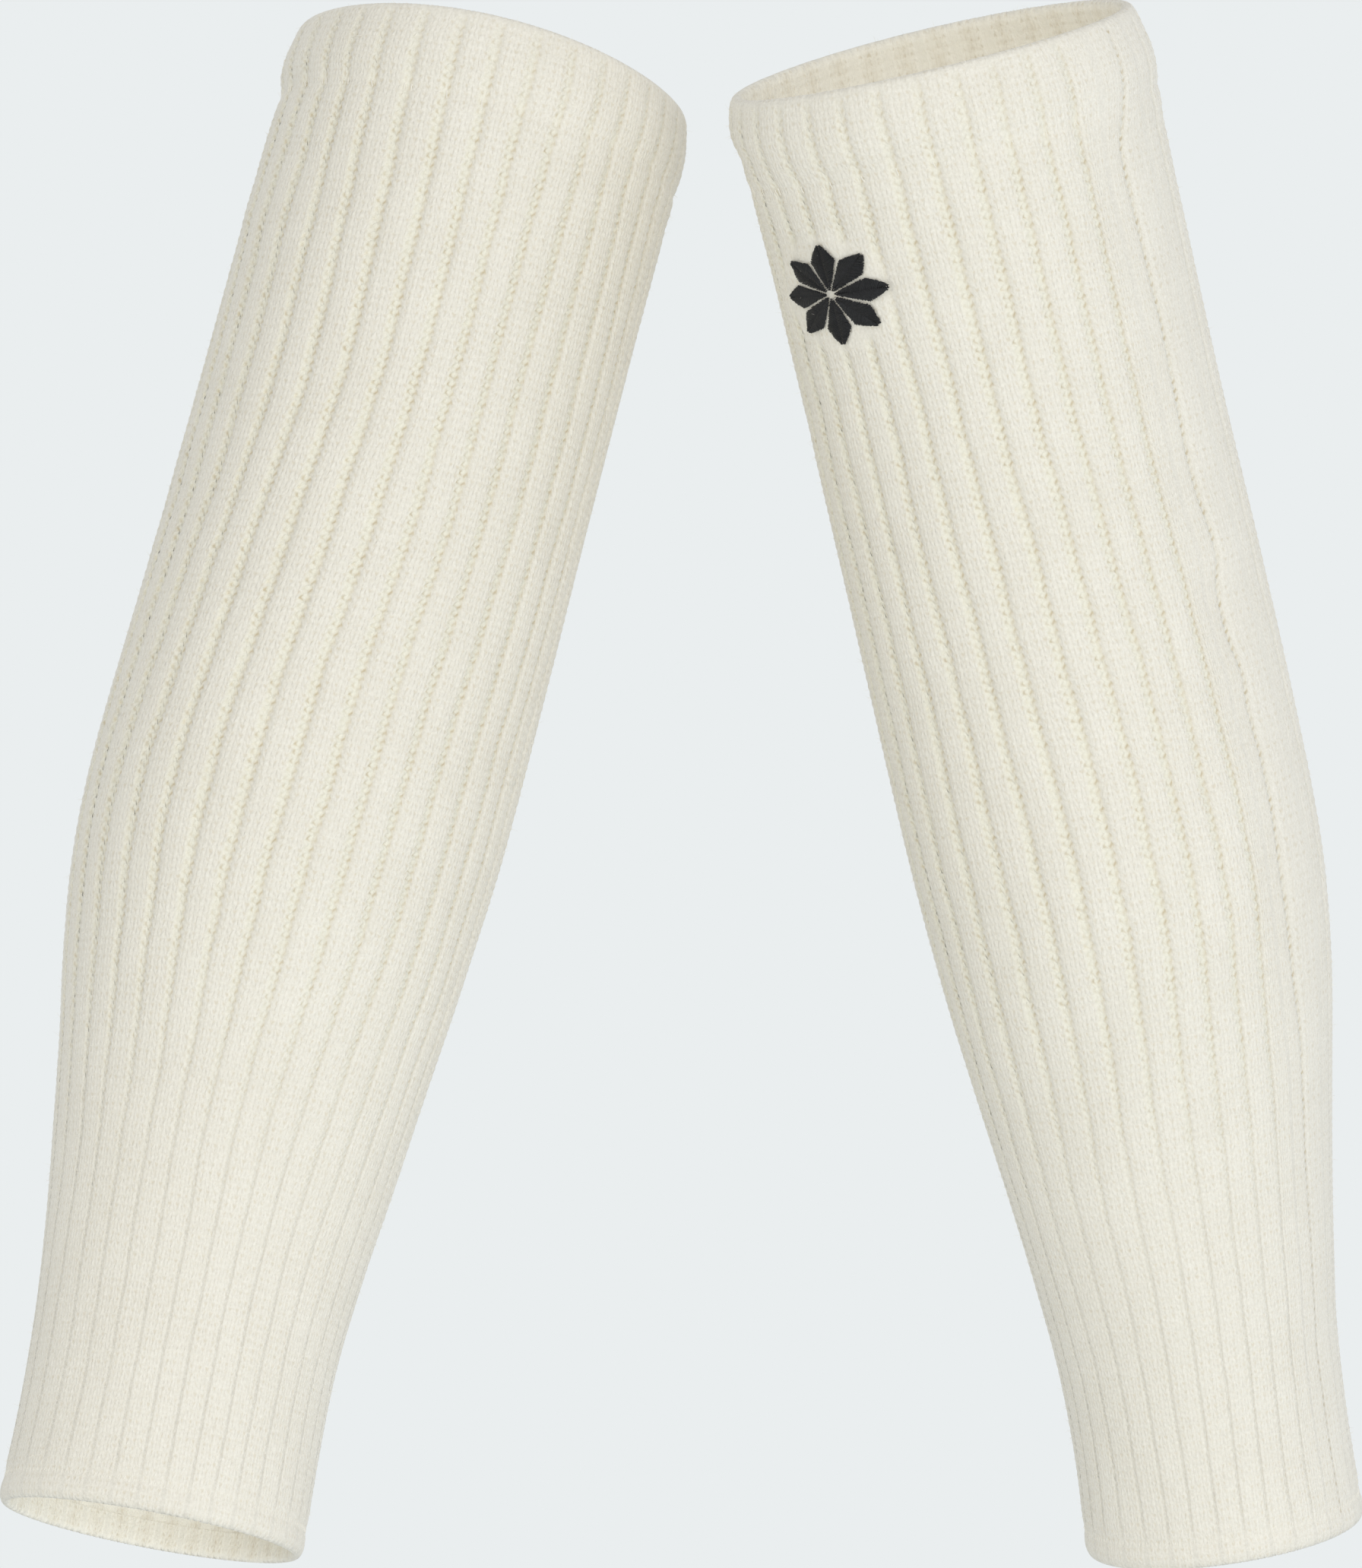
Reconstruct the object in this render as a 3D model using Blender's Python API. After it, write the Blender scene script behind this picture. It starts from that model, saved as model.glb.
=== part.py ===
"""A pair of ribbed knit leg warmers, filled out as on a leg and open at both ends.

Metres, +Z up. The viewer stands on -Y, and sees the left warmer at -X and the right one at +X.
The origin is where the right warmer is held, in the middle of its top band.
Each warmer is a tube knitted in ribs, with a turned band round its top and a narrow hem round its
foot. The cloth is a wall that is plain inside, with the ribs raised on its outer side, and the
three pieces stand 0.3 mm apart at their seams.
"""

import math
from bisect import bisect_right
from collections import namedtuple

import bpy
from mathutils import Vector

MM = 0.001

# Driving sizes, in metres
LENGTH = 406 * MM
BAND_DEPTH = 24 * MM
HEM_DEPTH = 7.5 * MM
SEAM_GAP = 0.3 * MM
HELD_DOWN = 12 * MM
LEG_WALL = 1.9 * MM
BAND_WALL = 3.4 * MM
HEM_WALL = 2.4 * MM
RIB_HEIGHT = 1.1 * MM
JOIN_DEPTH = 0.4 * MM

RIBS = 35
HEM_POINTS_A_RIB = 2

# The leg's outline: how far its rib crowns stand from the centreline to the side and to the front,
# how far that line leaves the straight axis, and how far the ribs have turned round it
Section = namedtuple("Section", "down half_width half_depth side front turn")
LEFT_SECTIONS = [
    Section(0 * MM, 54.4 * MM, 55.5 * MM, 3.0 * MM, 0.0 * MM, 0.0),
    Section(30 * MM, 54.5 * MM, 56.0 * MM, 2.4 * MM, 0.0 * MM, 0.0),
    Section(60 * MM, 54.6 * MM, 56.2 * MM, 1.2 * MM, -0.3 * MM, 0.0),
    Section(105 * MM, 54.8 * MM, 57.0 * MM, -0.4 * MM, -0.9 * MM, 0.0),
    Section(155 * MM, 55.4 * MM, 58.2 * MM, -2.3 * MM, -1.8 * MM, -2.0),
    Section(205 * MM, 56.0 * MM, 59.0 * MM, -4.5 * MM, -2.8 * MM, -4.5),
    Section(230 * MM, 55.0 * MM, 56.5 * MM, -5.2 * MM, -3.0 * MM, -5.5),
    Section(255 * MM, 52.4 * MM, 50.5 * MM, -4.7 * MM, -2.8 * MM, -6.5),
    Section(280 * MM, 48.9 * MM, 44.2 * MM, -3.8 * MM, -2.2 * MM, -7.5),
    Section(305 * MM, 45.7 * MM, 39.4 * MM, -3.1 * MM, -1.7 * MM, -8.0),
    Section(330 * MM, 42.5 * MM, 36.5 * MM, -2.6 * MM, -1.2 * MM, -7.5),
    Section(355 * MM, 40.3 * MM, 35.3 * MM, -2.0 * MM, -0.8 * MM, -7.0),
    Section(380 * MM, 39.9 * MM, 35.4 * MM, -1.0 * MM, -0.3 * MM, -7.0),
    Section(406 * MM, 40.6 * MM, 36.2 * MM, -0.1 * MM, 0.0 * MM, -7.0),
]
RIGHT_SECTIONS = [
    Section(0 * MM, 55.8 * MM, 55.6 * MM, -3.6 * MM, 0.0 * MM, 4.2),
    Section(12 * MM, 56.5 * MM, 56.0 * MM, -3.0 * MM, 0.0 * MM, 4.2),
    Section(36 * MM, 54.9 * MM, 55.0 * MM, -1.5 * MM, 0.1 * MM, 4.2),
    Section(75 * MM, 54.4 * MM, 55.0 * MM, 0.1 * MM, 0.5 * MM, 5.2),
    Section(105 * MM, 54.3 * MM, 55.3 * MM, 1.2 * MM, 1.0 * MM, 5.8),
    Section(155 * MM, 54.5 * MM, 56.5 * MM, 3.4 * MM, 2.4 * MM, 7.2),
    Section(205 * MM, 54.3 * MM, 58.2 * MM, 5.2 * MM, 4.0 * MM, 9.0),
    Section(230 * MM, 53.4 * MM, 57.4 * MM, 5.8 * MM, 4.6 * MM, 9.5),
    Section(255 * MM, 51.0 * MM, 53.4 * MM, 5.5 * MM, 4.4 * MM, 9.2),
    Section(280 * MM, 47.4 * MM, 49.6 * MM, 4.8 * MM, 3.6 * MM, 9.0),
    Section(305 * MM, 43.6 * MM, 46.4 * MM, 4.1 * MM, 2.8 * MM, 9.0),
    Section(330 * MM, 40.2 * MM, 43.6 * MM, 3.4 * MM, 2.0 * MM, 9.6),
    Section(355 * MM, 37.5 * MM, 40.4 * MM, 2.7 * MM, 1.2 * MM, 9.8),
    Section(380 * MM, 36.7 * MM, 38.6 * MM, 1.9 * MM, 0.5 * MM, 9.6),
    Section(406 * MM, 37.4 * MM, 38.4 * MM, 0.9 * MM, 0.0 * MM, 9.6),
]

# How a warmer's cloth swells over its band, is drawn in under it and rounds in at both edges
Swell = namedtuple("Swell", "down out")
SWELLS = [
    Swell(0 * MM, -3.8 * MM),
    Swell(1.2 * MM, -1.9 * MM),
    Swell(5 * MM, -0.2 * MM),
    Swell(12 * MM, 0.8 * MM),
    Swell(19 * MM, 0.1 * MM),
    Swell(24 * MM, -0.9 * MM),
    Swell(30 * MM, -0.2 * MM),
    Swell(40 * MM, 0.0 * MM),
    Swell(400 * MM, 0.0 * MM),
    Swell(404.4 * MM, -0.4 * MM),
    Swell(406 * MM, -1.6 * MM),
]

# How open the grooves are, as a share of the rib's pitch on each side, and how high the ribs stand
Ribbing = namedtuple("Ribbing", "down groove height")
RIBBINGS = [
    Ribbing(0 * MM, 0.17, 0.25),
    Ribbing(6 * MM, 0.17, 0.65),
    Ribbing(24 * MM, 0.18, 0.80),
    Ribbing(36 * MM, 0.19, 1.00),
    Ribbing(240 * MM, 0.19, 1.00),
    Ribbing(300 * MM, 0.13, 0.80),
    Ribbing(370 * MM, 0.10, 0.60),
    Ribbing(398 * MM, 0.10, 0.30),
    Ribbing(406 * MM, 0.10, 0.00),
]
SHOULDER = 0.80

# Where each piece has its rings, from the top down, and the deeper rings of its plain inside
LEG_RINGS = [
    BAND_DEPTH + SEAM_GAP / 2,
    30 * MM,
    60 * MM,
    105 * MM,
    150 * MM,
    195 * MM,
    222 * MM,
    246 * MM,
    270 * MM,
    300 * MM,
    330 * MM,
    362 * MM,
    LENGTH - HEM_DEPTH - SEAM_GAP / 2,
]
BAND_RINGS = [0 * MM, 1.2 * MM, 5 * MM, 12 * MM, 19 * MM, BAND_DEPTH - SEAM_GAP / 2]
BAND_INNER_RINGS = [1.8 * MM, 8 * MM, BAND_DEPTH - SEAM_GAP / 2]
BAND_LIP = 2.0 * MM
HEM_RINGS = [LENGTH - HEM_DEPTH + SEAM_GAP / 2, 403 * MM, 405.2 * MM, LENGTH]
HEM_INNER_RINGS = [LENGTH - HEM_DEPTH + SEAM_GAP / 2, 404.5 * MM]

# Where each warmer is held, how its foot leans to the right and away from the viewer, where the
# join down its back is, counted in ribs, how far its ribs crowd towards one side, and how far the
# sides of its top fold droop
Warmer = namedtuple("Warmer", "name held lean tilt sections join_rib crowding droop")
WARMERS = [
    Warmer("left", (-126 * MM, 62 * MM, -0.3 * MM), -12.6, -10.5, LEFT_SECTIONS, -11, 5.0, 3.5 * MM),
    Warmer("right", (0 * MM, 0 * MM, 0 * MM), 10.8, 8.3, RIGHT_SECTIONS, 5, 3.0, 0.5 * MM),
]

# How far above and below a ring the centreline is looked at to set the ring square to it
SQUARING_REACH = 6 * MM

SHARP_EDGE = math.radians(50)
WOOL_COLOUR = (0.83, 0.80, 0.70, 1.0)
WOOL_ROUGHNESS = 0.95


def smooth(rows, column, down):
    """One column's value at a distance down, on a smooth curve through the rows."""
    places = [row.down for row in rows]
    values = [getattr(row, column) for row in rows]
    first = min(max(bisect_right(places, down) - 1, 0), len(rows) - 2)

    def slope(row):
        before = max(row - 1, 0)
        after = min(row + 1, len(rows) - 1)
        return (values[after] - values[before]) / (places[after] - places[before])

    step = places[first + 1] - places[first]
    t = min(max((down - places[first]) / step, 0.0), 1.0)
    return (
        values[first] * (2 * t**3 - 3 * t**2 + 1)
        + slope(first) * step * (t**3 - 2 * t**2 + t)
        + values[first + 1] * (3 * t**2 - 2 * t**3)
        + slope(first + 1) * step * (t**3 - t**2)
    )


def straight_axes(warmer):
    """The warmer's straight axis towards its foot, and the ways to its right and to the viewer."""
    lean = math.radians(warmer.lean)
    tilt = math.radians(warmer.tilt)
    along = Vector((
        math.sin(lean) * math.cos(tilt),
        math.sin(tilt),
        -math.cos(lean) * math.cos(tilt),
    ))
    side = Vector((math.cos(lean), 0.0, math.sin(lean)))
    return along, side, along.cross(side)


def centre(warmer, down):
    """The point of the leg's curved centreline that is this far down the straight axis."""
    along, side, front = straight_axes(warmer)
    point = Vector(warmer.held) + along * (down - HELD_DOWN)
    point += side * smooth(warmer.sections, "side", down)
    return point + front * smooth(warmer.sections, "front", down)


def ring_axes(warmer, down):
    """The ways to the right and to the viewer that lie square to the centreline."""
    above = max(down - SQUARING_REACH, 0.0)
    below = min(down + SQUARING_REACH, LENGTH)
    along = (centre(warmer, below) - centre(warmer, above)).normalized()
    side = straight_axes(warmer)[1]
    side = (side - along * side.dot(along)).normalized()
    return side, along.cross(side)


def ring(warmer, down, turns, rises):
    """Points round the leg, one for each turn in radians, raised from the rib crowns' outline."""
    middle = centre(warmer, down)
    side, front = ring_axes(warmer, down)
    half_width = smooth(warmer.sections, "half_width", down)
    half_depth = smooth(warmer.sections, "half_depth", down)
    swell = smooth(SWELLS, "out", down)
    twist = math.radians(smooth(warmer.sections, "turn", down))
    crowding = math.radians(warmer.crowding)
    ovalness = (half_width**2 - half_depth**2) / (half_width**2 + half_depth**2) / 2
    droop = side.cross(front) * warmer.droop * max(0.0, 1 - down / BAND_DEPTH)
    points = []
    for turn, rise in zip(turns, rises):
        way = turn + twist + crowding * (math.cos(turn) - 1)
        way -= ovalness / 2 * math.sin(2 * way)
        out = swell + rise
        points.append(
            middle
            + side * (half_width + out) * math.sin(way)
            + front * (half_depth + out) * math.cos(way)
            + droop * math.sin(way) ** 2
        )
    return points


def ribbed_ring(warmer, down):
    """A ring of the outer side: a groove's bottom, then a rib's shoulder, crown and shoulder."""
    groove = smooth(RIBBINGS, "groove", down)
    height = RIB_HEIGHT * smooth(RIBBINGS, "height", down)
    pitch = 2 * math.pi / RIBS
    turns = []
    rises = []
    for rib in range(RIBS):
        join = JOIN_DEPTH * smooth(RIBBINGS, "height", down) if rib == warmer.join_rib % RIBS else 0.0
        turns += [pitch * (rib + share) for share in (0.0, groove, 0.5, 1.0 - groove)]
        rises += [-height - join, -height * (1 - SHOULDER), 0.0, -height * (1 - SHOULDER)]
    return ring(warmer, down, turns, rises)


def plain_ring(warmer, down, points_a_rib, rise):
    """A ring with no ribs."""
    count = RIBS * points_a_rib
    turns = [2 * math.pi * i / count for i in range(count)]
    return ring(warmer, down, turns, [rise] * count)


def wall(name, outer_rings, inner_rings):
    """A closed wall of cloth round the leg, from its outer and inner rings, each from the top down."""
    points = [tuple(p) for points_of_ring in outer_rings + inner_rings for p in points_of_ring]
    outer_count = len(outer_rings[0])
    inner_count = len(inner_rings[0])
    inner_start = outer_count * len(outer_rings)

    def outer(row, column):
        return row * outer_count + column % outer_count

    def inner(row, column):
        return inner_start + row * inner_count + column % inner_count

    faces = []
    for row in range(len(outer_rings) - 1):
        for i in range(outer_count):
            faces.append((outer(row, i), outer(row + 1, i), outer(row + 1, i + 1), outer(row, i + 1)))
    for row in range(len(inner_rings) - 1):
        for i in range(inner_count):
            faces.append((inner(row, i), inner(row, i + 1), inner(row + 1, i + 1), inner(row + 1, i)))
    share = outer_count // inner_count
    outer_foot = len(outer_rings) - 1
    inner_foot = len(inner_rings) - 1
    for i in range(inner_count):
        for k in range(share * i, share * (i + 1)):
            near = i if k < share * (i + 0.5) else i + 1
            faces.append((inner(0, near), outer(0, k), outer(0, k + 1)))
            faces.append((inner(inner_foot, near), outer(outer_foot, k + 1), outer(outer_foot, k)))
        middle = share * i + (share + 1) // 2
        faces.append((inner(0, i), outer(0, middle), inner(0, i + 1)))
        faces.append((inner(inner_foot, i + 1), outer(outer_foot, middle), inner(inner_foot, i)))
    mesh = bpy.data.meshes.new(name)
    mesh.from_pydata(points, [], faces)
    mesh.validate()
    mesh.shade_smooth()
    mesh.set_sharp_from_angle(angle=SHARP_EDGE)
    return mesh


def leg_tube(warmer):
    outer_rings = [ribbed_ring(warmer, down) for down in LEG_RINGS]
    depth = -(RIB_HEIGHT + LEG_WALL)
    inner_rings = [plain_ring(warmer, down, 1, depth) for down in LEG_RINGS]
    return wall(f"{warmer.name}_leg_tube", outer_rings, inner_rings)


def top_band(warmer):
    outer_rings = [ribbed_ring(warmer, down) for down in BAND_RINGS]
    lip = [BAND_LIP, 0.0, 0.0]
    inner_rings = [
        plain_ring(warmer, down, 1, -(BAND_WALL + narrower))
        for down, narrower in zip(BAND_INNER_RINGS, lip)
    ]
    return wall(f"{warmer.name}_top_band", outer_rings, inner_rings)


def bottom_hem(warmer):
    outer_rings = [plain_ring(warmer, down, HEM_POINTS_A_RIB, 0.0) for down in HEM_RINGS]
    inner_rings = [plain_ring(warmer, down, 1, -HEM_WALL) for down in HEM_INNER_RINGS]
    return wall(f"{warmer.name}_bottom_hem", outer_rings, inner_rings)


def wool(name):
    """Cream wool for one piece."""
    material = bpy.data.materials.new(f"{name}_wool")
    material.use_nodes = True
    shader = material.node_tree.nodes["Principled BSDF"]
    shader.inputs["Base Color"].default_value = WOOL_COLOUR
    shader.inputs["Roughness"].default_value = WOOL_ROUGHNESS
    shader.inputs["Metallic"].default_value = 0.0
    return material


def clear_scene():
    for old in list(bpy.data.objects):
        bpy.data.objects.remove(old, do_unlink=True)


def build():
    clear_scene()
    for warmer in WARMERS:
        holder = bpy.data.objects.new(f"{warmer.name}_warmer", None)
        bpy.context.scene.collection.objects.link(holder)
        for make in (leg_tube, top_band, bottom_hem):
            mesh = make(warmer)
            piece = bpy.data.objects.new(mesh.name, mesh)
            mesh.materials.append(wool(mesh.name))
            piece.parent = holder
            bpy.context.scene.collection.objects.link(piece)


build()
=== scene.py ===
"""A pair of ribbed knit leg warmers in cream wool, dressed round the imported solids.

The part's frame is in metres, +Z up, with the viewer on -Y. The tables here are in millimetres and
degrees, and a mesh is brought to metres when it is made. Each warmer is knitted in ribs of three
plain wales with two purl wales sunk between them. A wale is one column of stitches and a course is
one row. The stitches' relief is in the meshes, and the yarn's finer twist is in the materials.
"""

import math
from collections import namedtuple
from functools import partial, reduce

import bpy
import numpy as np
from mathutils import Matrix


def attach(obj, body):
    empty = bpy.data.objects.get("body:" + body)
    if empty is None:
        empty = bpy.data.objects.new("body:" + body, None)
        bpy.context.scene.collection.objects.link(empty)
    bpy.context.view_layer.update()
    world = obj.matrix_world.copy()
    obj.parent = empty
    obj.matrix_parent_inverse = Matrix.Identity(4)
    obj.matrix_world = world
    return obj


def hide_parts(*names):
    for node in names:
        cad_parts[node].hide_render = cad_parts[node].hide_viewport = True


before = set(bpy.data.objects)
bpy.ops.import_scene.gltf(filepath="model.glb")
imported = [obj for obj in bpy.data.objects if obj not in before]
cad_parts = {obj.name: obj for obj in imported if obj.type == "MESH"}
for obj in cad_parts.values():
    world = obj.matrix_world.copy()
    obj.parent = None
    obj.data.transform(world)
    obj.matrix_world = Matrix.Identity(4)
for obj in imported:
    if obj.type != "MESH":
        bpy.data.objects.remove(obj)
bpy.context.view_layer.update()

MM = 0.001

# The warmers' sizes, as the solids have them
LENGTH = 406.0
BAND_DEPTH = 24.0
HEM_DEPTH = 7.5
HELD_DOWN = 12.0
RIBS = 35
RIB_PITCH = math.tau / RIBS
RIB_HEIGHT = 0.95
CLOTH = 1.9

Section = namedtuple("Section", "down half_width half_depth side front turn")
LEFT_SECTIONS = [Section(*row) for row in (
    (0, 54.4, 55.5, 3.0, 0.0, 0.0),
    (30, 54.5, 56.0, 2.4, 0.0, 0.0),
    (60, 54.6, 56.2, 1.2, -0.3, 0.0),
    (105, 54.8, 57.0, -0.4, -0.9, 0.0),
    (155, 55.4, 58.2, -2.3, -1.8, -2.0),
    (205, 56.0, 59.0, -4.5, -2.8, -4.5),
    (230, 55.0, 56.5, -5.2, -3.0, -5.5),
    (255, 52.4, 50.5, -4.7, -2.8, -6.5),
    (280, 48.9, 44.2, -3.8, -2.2, -7.5),
    (305, 45.7, 39.4, -3.1, -1.7, -8.0),
    (330, 42.5, 36.5, -2.6, -1.2, -7.5),
    (355, 40.3, 35.3, -2.0, -0.8, -7.0),
    (380, 39.9, 35.4, -1.0, -0.3, -7.0),
    (406, 40.6, 36.2, -0.1, 0.0, -7.0),
)]
RIGHT_SECTIONS = [Section(*row) for row in (
    (0, 55.8, 55.6, -3.6, 0.0, 4.2),
    (12, 56.5, 56.0, -3.0, 0.0, 4.2),
    (36, 54.9, 55.0, -1.5, 0.1, 4.2),
    (75, 54.4, 55.0, 0.1, 0.5, 5.2),
    (105, 54.3, 55.3, 1.2, 1.0, 5.8),
    (155, 54.5, 56.5, 3.4, 2.4, 7.2),
    (205, 54.3, 58.2, 5.2, 4.0, 9.0),
    (230, 53.4, 57.4, 5.8, 4.6, 9.5),
    (255, 51.0, 53.4, 5.5, 4.4, 9.2),
    (280, 47.4, 49.6, 4.8, 3.6, 9.0),
    (305, 43.6, 46.4, 4.1, 2.8, 9.0),
    (330, 40.2, 43.6, 3.4, 2.0, 9.6),
    (355, 37.5, 40.4, 2.7, 1.2, 9.8),
    (380, 36.7, 38.6, 1.9, 0.5, 9.6),
    (406, 37.4, 38.4, 0.9, 0.0, 9.6),
)]

# How open the grooves are, as a share of the rib's pitch on each side, and how deep they are
Ribbing = namedtuple("Ribbing", "down groove height")
RIBBINGS = [Ribbing(*row) for row in (
    (0, 0.12, 0.05),
    (3, 0.12, 0.35),
    (10, 0.12, 0.65),
    (24, 0.12, 0.80),
    (36, 0.125, 1.00),
    (230, 0.125, 1.00),
    (265, 0.105, 0.76),
    (295, 0.085, 0.36),
    (325, 0.07, 0.12),
    (370, 0.065, 0.02),
    (396, 0.07, 0.00),
    (406, 0.10, 0.00),
)]

# The way of each piece of cloth: how far along it, how far down the leg and how far out from its
# outline. The band starts at its seam inside and comes over its fold, and the hem goes back inside
Fold = namedtuple("Fold", "along down out")
LEG_FOLD = [Fold(*row) for row in (
    (0.0, 24.0, -1.2),
    (0.8, 24.8, -1.18),
    (3.5, 27.5, -0.75),
    (9.0, 33.0, -0.15),
    (18.0, 42.0, 0.0),
    (368.5, 392.5, 0.0),
    (372.5, 396.5, -0.1),
    (373.9, 397.9, -0.3),
    (374.5, 398.5, -0.3),
)]
BAND_FOLD = [Fold(*row) for row in (
    (0.0, 24.0, -4.3),
    (8.0, 16.0, -4.2),
    (17.0, 7.0, -4.4),
    (21.5, 2.5, -4.7),
    (23.0, 1.0, -4.5),
    (24.2, 0.1, -3.7),
    (25.4, 0.1, -2.6),
    (26.8, 0.9, -1.6),
    (29.0, 2.8, -0.9),
    (32.6, 6.3, -0.2),
    (38.4, 12.0, 0.6),
    (43.4, 17.0, 0.4),
    (47.2, 20.6, -0.6),
    (49.9, 23.2, -1.18),
    (50.7, 24.0, -1.2),
)]
HEM_FOLD = [Fold(*row) for row in (
    (0.0, 398.5, -0.3),
    (0.6, 399.1, -0.3),
    (2.0, 400.5, 0.0),
    (4.3, 402.8, 0.05),
    (6.0, 404.4, -0.3),
    (7.1, 405.4, -0.9),
    (8.1, 405.8, -1.7),
    (9.1, 405.4, -2.5),
    (10.8, 403.8, -2.8),
    (16.1, 398.5, -2.4),
)]

# Where the join down the back leaves the place that its rib would have, in degrees
Stray = namedtuple("Stray", "down turn")
LEFT_STRAYS = [Stray(*row) for row in (
    (0, -1.0), (90, -3.0), (190, -4.5), (270, -2.5), (406, -1.5),
)]
RIGHT_STRAYS = [Stray(*row) for row in (
    (0, 1.5), (18, 1.0), (24, 0.0), (29, -3.0), (36, -5.4), (75, -4.7), (100, -5.4), (125, -6.5),
    (144, -4.1), (153, -7.4), (165, -8.3), (175, -6.2), (186, -7.9), (200, -7.1), (225, -8.5),
    (250, -7.3), (275, -4.3), (300, -4.4), (325, -3.9), (406, -2.5),
)]

# How far the ribs have drifted round the leg, in ribs, from its front's left side to its right
Drift = namedtuple("Drift", "down far_left left middle right far_right")
DRIFT_PLACES = (-6.0, -3.0, 0.0, 3.0, 6.0)
LEFT_DRIFTS = [Drift(*row) for row in (
    (0, 0.22, -0.08, 0.06, 0.25, 0.15),
    (30, 0.22, -0.08, 0.06, 0.25, 0.15),
    (60, 0.12, 0.08, 0.24, 0.22, 0.32),
    (100, 0.28, 0.33, 0.26, 0.22, 0.37),
    (140, 0.38, 0.24, 0.24, 0.22, 0.38),
    (180, 0.25, 0.11, 0.16, 0.22, 0.34),
    (220, 0.00, 0.15, 0.28, 0.42, 0.52),
    (250, 0.10, 0.20, 0.28, 0.48, 0.70),
    (280, 0.22, 0.20, 0.14, 0.39, 0.57),
    (310, 0.38, 0.10, 0.00, 0.17, 0.45),
    (345, -0.03, -0.03, 0.01, 0.08, 0.18),
    (406, -0.15, 0.00, 0.07, 0.05, 0.05),
)]
RIGHT_DRIFTS = [Drift(*row) for row in (
    (0, -0.30, -0.25, -0.06, 0.05, 0.00),
    (45, -0.25, -0.25, -0.07, 0.02, -0.05),
    (75, -0.10, -0.20, -0.11, -0.09, -0.20),
    (105, -0.12, -0.17, -0.16, -0.18, -0.25),
    (140, -0.18, -0.22, -0.16, -0.20, -0.30),
    (195, -0.46, -0.22, -0.10, -0.21, -0.35),
    (255, -0.55, -0.20, -0.26, -0.37, -0.45),
    (300, -0.60, -0.40, -0.27, -0.23, -0.35),
    (345, -0.50, -0.35, -0.26, -0.28, -0.30),
    (406, -0.60, -0.35, -0.36, -0.35, -0.30),
)]

# The cloth's soft troughs (depth under 0) and ridges: where they are, how they run, and their size
Crease = namedtuple("Crease", "down turn slant length width depth")
LEFT_CREASES = [Crease(*row) for row in (
    (46, -52, 24, 22, 5, -0.40),
    (62, -66, 18, 26, 5, 0.35),
    (138, -64, -8, 20, 7, -0.35),
    (252, -14, -6, 24, 5, -0.35),
    (259, -10, -5, 26, 5, 0.25),
    (290, -20, -4, 20, 7, -0.25),
    (182, 46, 6, 22, 8, -0.30),
    (330, 30, -5, 24, 7, -0.25),
    (372, -30, 4, 18, 6, -0.25),
    (70, 168, -14, 30, 6, -0.40),
    (236, 150, 10, 26, 7, -0.35),
    (300, 214, -8, 24, 7, -0.30),
)]
RIGHT_CREASES = [Crease(*row) for row in (
    (16, -92, 0, 26, 5.5, -1.7),
    (9, 84, 0, 30, 6, -0.6),
    (38, -62, 32, 18, 5, -0.45),
    (48, -22, -34, 20, 5, -0.40),
    (84, -70, -20, 20, 5, -0.35),
    (88, -24, 24, 22, 6, -0.30),
    (36, 40, -4, 26, 5, 0.25),
    (153, 52, 8, 20, 7, -0.35),
    (228, -40, 6, 24, 7, -0.25),
    (318, 12, 5, 26, 7, -0.20),
    (352, 60, -6, 20, 7, -0.30),
    (66, 190, 16, 28, 6, -0.40),
    (210, 160, -8, 26, 7, -0.35),
    (285, 222, 10, 24, 7, -0.30),
)]

# Where the creases start and where they are whole: in the band, down the leg and up from its foot
CREASED_BAND = (24.0, 18.0)
CREASED_LEG = (24.0, 36.0)
CREASED_FOOT = (394, 382)

# Each warmer's mount, lean and tilt, shape, join and creases, how its ribs crowd to one side, how
# far its band droops, how much of their height its ribs keep at the foot, and the seed of its
# chances
Warmer = namedtuple(
    "Warmer",
    "name held lean tilt sections drifts join strays creases crowding droop foot_ribs seed",
)
WARMERS = [
    Warmer("left", (-126, 62, -0.3), -12.6, -10.5, LEFT_SECTIONS, LEFT_DRIFTS,
           -11, LEFT_STRAYS, LEFT_CREASES, 5.0, 3.5, 0.03, 3),
    Warmer("right", (0, 0, 0), 10.8, 8.3, RIGHT_SECTIONS, RIGHT_DRIFTS,
           5, RIGHT_STRAYS, RIGHT_CREASES, 3.0, 0.5, 0.14, 8),
]

# One rib's columns from the middle of its groove: where each lies when the grooves have no width,
# how it moves as they open, its place in wales, how far down the leg it leads its row (in
# courses), its share of the rib's height, its standing relief, how much the courses ripple there,
# and how far they scallop it to and fro (in ribs)
Column = namedtuple("Column", "closed opening wale lead depth relief ripple scallop")
GROOVE_MIDDLE = Column(0.0, 0.0, 0.0, -0.15, -1.0, 0.0, 0.16, 0.010)
GROOVE_LEFT = Column(1.0, -0.5, 4.5, -0.45, -0.90, 0.0, 0.22, 0.034)
GROOVE_RIGHT = Column(0.0, 0.5, 0.5, -0.45, -0.90, 0.0, 0.18, -0.012)
KNIT_DEPTHS = (
    -0.60, -0.30, -0.16, -0.08, -0.04, -0.01, 0.0, -0.01, -0.04, -0.08, -0.16, -0.30, -0.60,
)
# A knit wale from one edge to the next: its lead, its relief and its ripple
WALE_LEADS = (-0.25, 0.0, 0.25, 0.0)
WALE_RELIEFS = (-0.08, 0.07, -0.02, 0.07)
WALE_RIPPLES = (0.05, 0.09, 0.06, 0.09)
KNIT_STEPS = len(KNIT_DEPTHS) - 1
EDGE_SCALLOPS = {0: -0.014, 1: -0.005, KNIT_STEPS - 1: 0.014, KNIT_STEPS: 0.038}
EDGE_RIPPLES = {0: 0.16, 1: 0.14, KNIT_STEPS - 1: 0.16, KNIT_STEPS: 0.20}

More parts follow.
